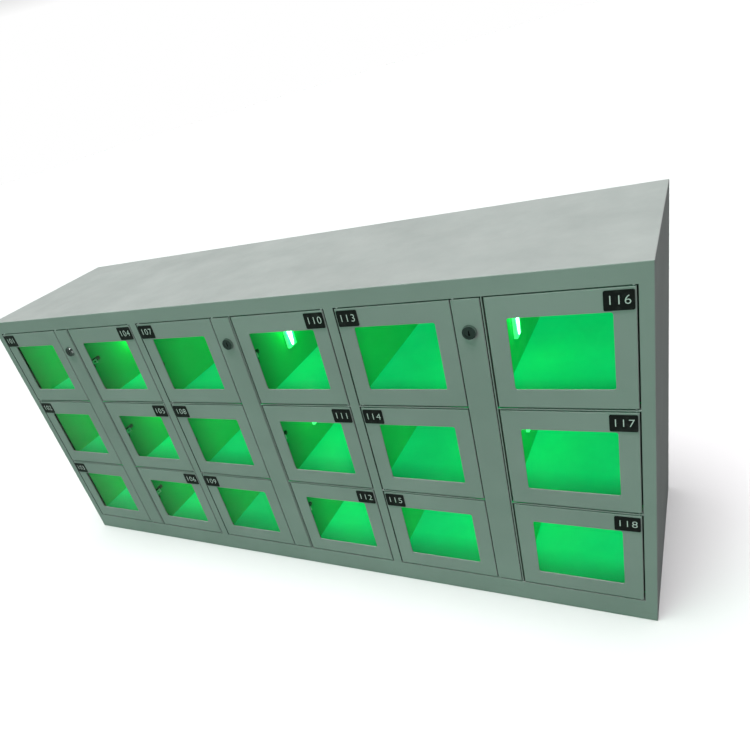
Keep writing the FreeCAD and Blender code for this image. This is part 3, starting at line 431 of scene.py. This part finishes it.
window_names = [f"window_{n:02d}" for n in range(1, MODULES * ROWS * 2 + 1)]
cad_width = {n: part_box(n)[1].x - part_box(n)[0].x for n in window_names}
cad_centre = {n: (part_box(n)[1].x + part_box(n)[0].x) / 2 for n in window_names}
dress_cabinet()
dress_doors()


# ---------------------------------------------------------------- pieces made here


def mesh_piece(name, form, body, slot, *materials):
    """Turns a bmesh into a piece that rides on a body."""
    mesh = bpy.data.meshes.new(name)
    form.to_mesh(mesh)
    form.free()
    for material in materials:
        mesh.materials.append(material)
    piece = bpy.data.objects.new(name, mesh)
    bpy.context.scene.collection.objects.link(piece)
    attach(piece, body)
    return piece


def door_number(number):
    """Printed digits on a door's number plate."""
    name = f"door_{number:02d}"
    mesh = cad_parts[name].data
    plate = [v.co for v in mesh.vertices if v.co.y < FRONT - 0.5 * MM]
    centre_x = (min(c.x for c in plate) + max(c.x for c in plate)) / 2
    centre_z = (min(c.z for c in plate) + max(c.z for c in plate)) / 2
    face_y = min(c.y for c in plate)
    text = bpy.data.curves.new(f"digits_{number:02d}", "FONT")
    text.body = str(FIRST_NUMBER + number - 1)
    text.size = 17.5 * MM
    text.extrude = 0.06 * MM
    text.offset = -0.22 * MM
    text.space_character = 1.12
    text.align_x = "CENTER"
    text.align_y = "CENTER"
    source = bpy.data.objects.new("digits_source", text)
    source.rotation_euler = (math.pi / 2, 0, 0)
    source.location = (centre_x, face_y - 0.02 * MM, centre_z)
    bpy.context.scene.collection.objects.link(source)
    bpy.context.view_layer.update()
    form = bmesh.new()
    made = bpy.data.meshes.new_from_object(source.evaluated_get(bpy.context.evaluated_depsgraph_get()))
    form.from_mesh(made)
    form.transform(source.matrix_world)
    bpy.data.objects.remove(source)
    bpy.data.meshes.remove(made)
    mesh_piece(f"door_number_{number:02d}", form, f"{name}_leaf", "pin_steel", label_print)


def prism(form, outline, start, end):
    """Adds a closed prism; outline is in two axes, and start and end place its two faces."""
    near = [form.verts.new(start(p)) for p in outline]
    far = [form.verts.new(end(p)) for p in outline]
    form.faces.new(near)
    form.faces.new(list(reversed(far)))
    for i in range(len(outline)):
        j = (i + 1) % len(outline)
        form.faces.new((near[j], near[i], far[i], far[j]))


def lamp_highlight_patches():
    """A glowing patch on each lamp, wide at its top and tapering to a rounded tip: a painted highlight
    standing in for a lamp's reflection on the glossy duct wall.
    """
    form = bmesh.new()
    low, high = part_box("lamps")
    middle = (low.y + high.y) / 2
    step = high.z - low.z - 2 * ROW_PITCH
    for module in range(MODULES):
        for side, face in (("left", DUCT_LEFT - LAMP_THICK), ("right", DUCT_RIGHT + LAMP_THICK)):
            out = -1 if side == "left" else 1
            x = OPENING_LEFT + module * MODULE_PITCH + face
            for row in range(ROWS):
                top = high.z - row * ROW_PITCH - PATCH_INSET
                tip = top - step + 2 * PATCH_INSET + TIP_SINK
                outline = [(middle - PATCH_HALF, top), (middle + PATCH_HALF, top)]
                for turn in range(TIP_STEPS + 1):
                    angle = math.pi * turn / TIP_STEPS
                    across = middle + TIP_RADIUS * math.cos(angle)
                    outline.append((across, tip + TIP_RISE - TIP_RADIUS * math.sin(angle)))
                prism(
                    form,
                    outline,
                    lambda p, x=x: (x, p[0], p[1]),
                    lambda p, x=x, out=out: (x + out * PATCH_PROUD, p[0], p[1]),
                )
    bmesh.ops.recalc_face_normals(form, faces=form.faces)
    mesh_piece("lamp_highlight_patches", form, "cabinet", "lamp_lens", lamp_painted_highlight)


def gap_shade_flaps():
    """A thin flap in the darker paint behind the gap on the hinge side of each door: a dark sheet that paints
    shade into the gap.
    """
    form = bmesh.new()
    for number in range(1, MODULES * ROWS * 2 + 1):
        low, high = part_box(f"door_{number:02d}")
        on_left = ((number - 1) // ROWS) % 2 == 0
        start, end = (low.x - FLAP_OUT, low.x + FLAP_IN) if on_left else (high.x - FLAP_IN, high.x + FLAP_OUT)
        outline = [(start, low.z), (end, low.z), (end, high.z), (start, high.z)]
        prism(
            form,
            outline,
            lambda p: (p[0], FRONT + FLAP_SETBACK, p[1]),
            lambda p: (p[0], FRONT + FLAP_SETBACK + FLAP_THICK, p[1]),
        )
    bmesh.ops.recalc_face_normals(form, faces=form.faces)
    mesh_piece("gap_shade_flaps", form, "cabinet", "liner_paint", shaded_paint)


def screw_head(radius, height, recess):
    """A pan head with a cross recess, facing +Z, as a mesh."""
    form = bmesh.new()
    circle = [2 * math.pi * k / HEAD_SIDES for k in range(HEAD_SIDES)]
    rings = []
    for step in range(HEAD_STEPS + 1):
        angle = math.pi / 2 * step / HEAD_STEPS
        reach = radius - height * (1 - math.cos(angle))
        level = height * math.sin(angle)
        rings.append([form.verts.new((reach * math.cos(a), reach * math.sin(a), level)) for a in circle])
    for lower, upper in zip(rings, rings[1:]):
        for k in range(HEAD_SIDES):
            after = (k + 1) % HEAD_SIDES
            form.faces.new((lower[k], lower[after], upper[after], upper[k]))
    form.faces.new(rings[-1])
    form.faces.new(list(reversed(rings[0])))
    bmesh.ops.remove_doubles(form, verts=form.verts, dist=1e-7)
    head = bpy.data.meshes.new("screw_head_solid")
    form.to_mesh(head)
    form.free()
    body = bpy.data.objects.new("screw_head_solid", head)
    bpy.context.scene.collection.objects.link(body)
    form = bmesh.new()
    arm, width = 0.58 * radius, 0.2 * radius
    cross = [(arm, -width), (arm, width), (width, width), (width, arm), (-width, arm), (-width, width)]
    cross += [(-x, -y) for x, y in cross]
    prism(form, cross, lambda p: (p[0], p[1], height - recess), lambda p: (p[0], p[1], height + recess))
    bmesh.ops.recalc_face_normals(form, faces=form.faces)
    tool_mesh = bpy.data.meshes.new("screw_cross")
    form.to_mesh(tool_mesh)
    form.free()
    tool = bpy.data.objects.new("screw_cross", tool_mesh)
    bpy.context.scene.collection.objects.link(tool)
    cut = body.modifiers.new("recess", "BOOLEAN")
    cut.operation = "DIFFERENCE"
    cut.object = tool
    bpy.context.view_layer.update()
    made = bpy.data.meshes.new_from_object(body.evaluated_get(bpy.context.evaluated_depsgraph_get()))
    bpy.data.objects.remove(body)
    bpy.data.objects.remove(tool)
    return made


def back_screws():
    """The back panel's pan-head screws, where the CAD screws are."""
    radius, height = 3.5 * MM, 2.0 * MM
    head = screw_head(radius, height, 1.1 * MM)
    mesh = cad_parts["panel_screws"].data
    low_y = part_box("panel_screws")[0].y
    spots = {}
    for vertex in mesh.vertices:
        key = (round(vertex.co.x / (12 * MM)), round(vertex.co.z / (12 * MM)))
        spots.setdefault(key, []).append(vertex.co)
    centres = []
    for points in spots.values():
        middle = sum(points, Vector()) / len(points)
        for centre in centres:
            if (centre[0] - middle).length < 10 * MM:
                centre[1].extend(points)
                break
        else:
            centres.append([middle, list(points)])
    form = bmesh.new()
    for index, (_, points) in enumerate(centres):
        x = (min(p.x for p in points) + max(p.x for p in points)) / 2
        z = (min(p.z for p in points) + max(p.z for p in points)) / 2
        turn = index * 0.7
        before = len(form.verts)
        form.from_mesh(head)
        form.verts.ensure_lookup_table()
        for vertex in form.verts[before:]:
            a, b, c = vertex.co
            across = a * math.cos(turn) - b * math.sin(turn)
            rise = a * math.sin(turn) + b * math.cos(turn)
            vertex.co = (x + across, low_y + c, z + rise)
    bmesh.ops.recalc_face_normals(form, faces=form.faces)
    bpy.data.meshes.remove(head)
    piece = mesh_piece("back_panel_screw_heads", form, "cabinet", "pin_steel", zinc)
    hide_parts("panel_screws")


for number in range(1, MODULES * ROWS * 2 + 1):
    door_number(number)
lamp_highlight_patches()
gap_shade_flaps()
back_screws()


# ---------------------------------------------------------------- lights in the compartments


def compartment_lights():
    """A small green light in front of each lamp."""
    low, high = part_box("lamps")
    for module in range(MODULES):
        for side, face, out in (("left", DUCT_LEFT, -1), ("right", DUCT_RIGHT, 1)):
            for row in range(ROWS):
                data = bpy.data.lights.new("compartment_glow", "POINT")
                data.color = LED_GREEN
                data.energy = 0.20
                data.shadow_soft_size = 8 * MM
                light = bpy.data.objects.new("compartment_glow", data)
                x = OPENING_LEFT + module * MODULE_PITCH + face + out * (LAMP_THICK + 14 * MM)
                light.location = (x, (low.y + high.y) / 2, high.z - row * ROW_PITCH - 20 * MM)
                bpy.context.scene.collection.objects.link(light)


compartment_lights()


# ---------------------------------------------------------------- floor, studio light and camera


def floor():
    size = 40.0
    form = bmesh.new()
    bmesh.ops.create_grid(form, x_segments=8, y_segments=8, size=size)
    mesh = bpy.data.meshes.new("floor")
    form.to_mesh(mesh)
    form.free()
    shader = Shader("floor_pale")
    wash = shader.band(shader.noise(1.5, 3.0), 0.3, 0.7, 0.395, 0.41)
    shader.set(Base_Color=shader.grey(wash), Roughness=0.9, Specular_IOR_Level=0.1)
    mesh.materials.append(shader.material)
    piece = bpy.data.objects.new("floor", mesh)
    piece.location.z = -0.0005
    bpy.context.scene.collection.objects.link(piece)


def sun(name, direction, strength, colour, angle):
    """A broad soft light that shines along direction."""
    data = bpy.data.lights.new(name, "SUN")
    data.energy = strength
    data.color = colour
    data.angle = math.radians(angle)
    light = bpy.data.objects.new(name, data)
    light.rotation_euler = Vector(direction).to_track_quat("-Z", "Y").to_euler()
    bpy.context.scene.collection.objects.link(light)


def surroundings():
    """A sky that is white up to just above the horizon and dim overhead."""
    world = bpy.data.worlds.new("studio")
    world.use_nodes = True
    bpy.context.scene.world = world
    tree = world.node_tree
    place = tree.nodes.new("ShaderNodeTexCoord")
    parts = tree.nodes.new("ShaderNodeSeparateXYZ")
    ramp = tree.nodes.new("ShaderNodeMapRange")
    tree.links.new(place.outputs["Generated"], parts.inputs[0])
    tree.links.new(parts.outputs["Z"], ramp.inputs["Value"])
    for key, value in (("From Min", 0.16), ("From Max", 0.24), ("To Min", 1.0), ("To Max", 0.05)):
        ramp.inputs[key].default_value = value
    background = tree.nodes["Background"]
    background.inputs["Color"].default_value = (1.0, 1.0, 1.0, 1.0)
    tree.links.new(ramp.outputs["Result"], background.inputs["Strength"])


def camera():
    """A wide lens close to the right front corner, tilted a little."""
    data = bpy.data.cameras.new("camera")
    data.sensor_width = 36.0
    data.lens = 29.67
    data.shift_x = 0.080
    data.shift_y = 0.056
    data.clip_end = 200.0
    piece = bpy.data.objects.new("camera", data)
    piece.location = (0.7027, -0.9406, 0.8844)
    piece.rotation_euler = [math.radians(a) for a in (60.734, 15.496, 28.071)]
    bpy.context.scene.collection.objects.link(piece)
    bpy.context.scene.camera = piece


floor()
surroundings()
sun("overhead", (0.03, 0.10, -1.0), 8.0, (1.0, 0.985, 1.0), 36)
sun("front_fill", (0.62, 0.76, -0.2), 2.5, (0.10, 1.0, 0.49), 50)
camera()
bpy.context.scene.view_settings.view_transform = "Standard"
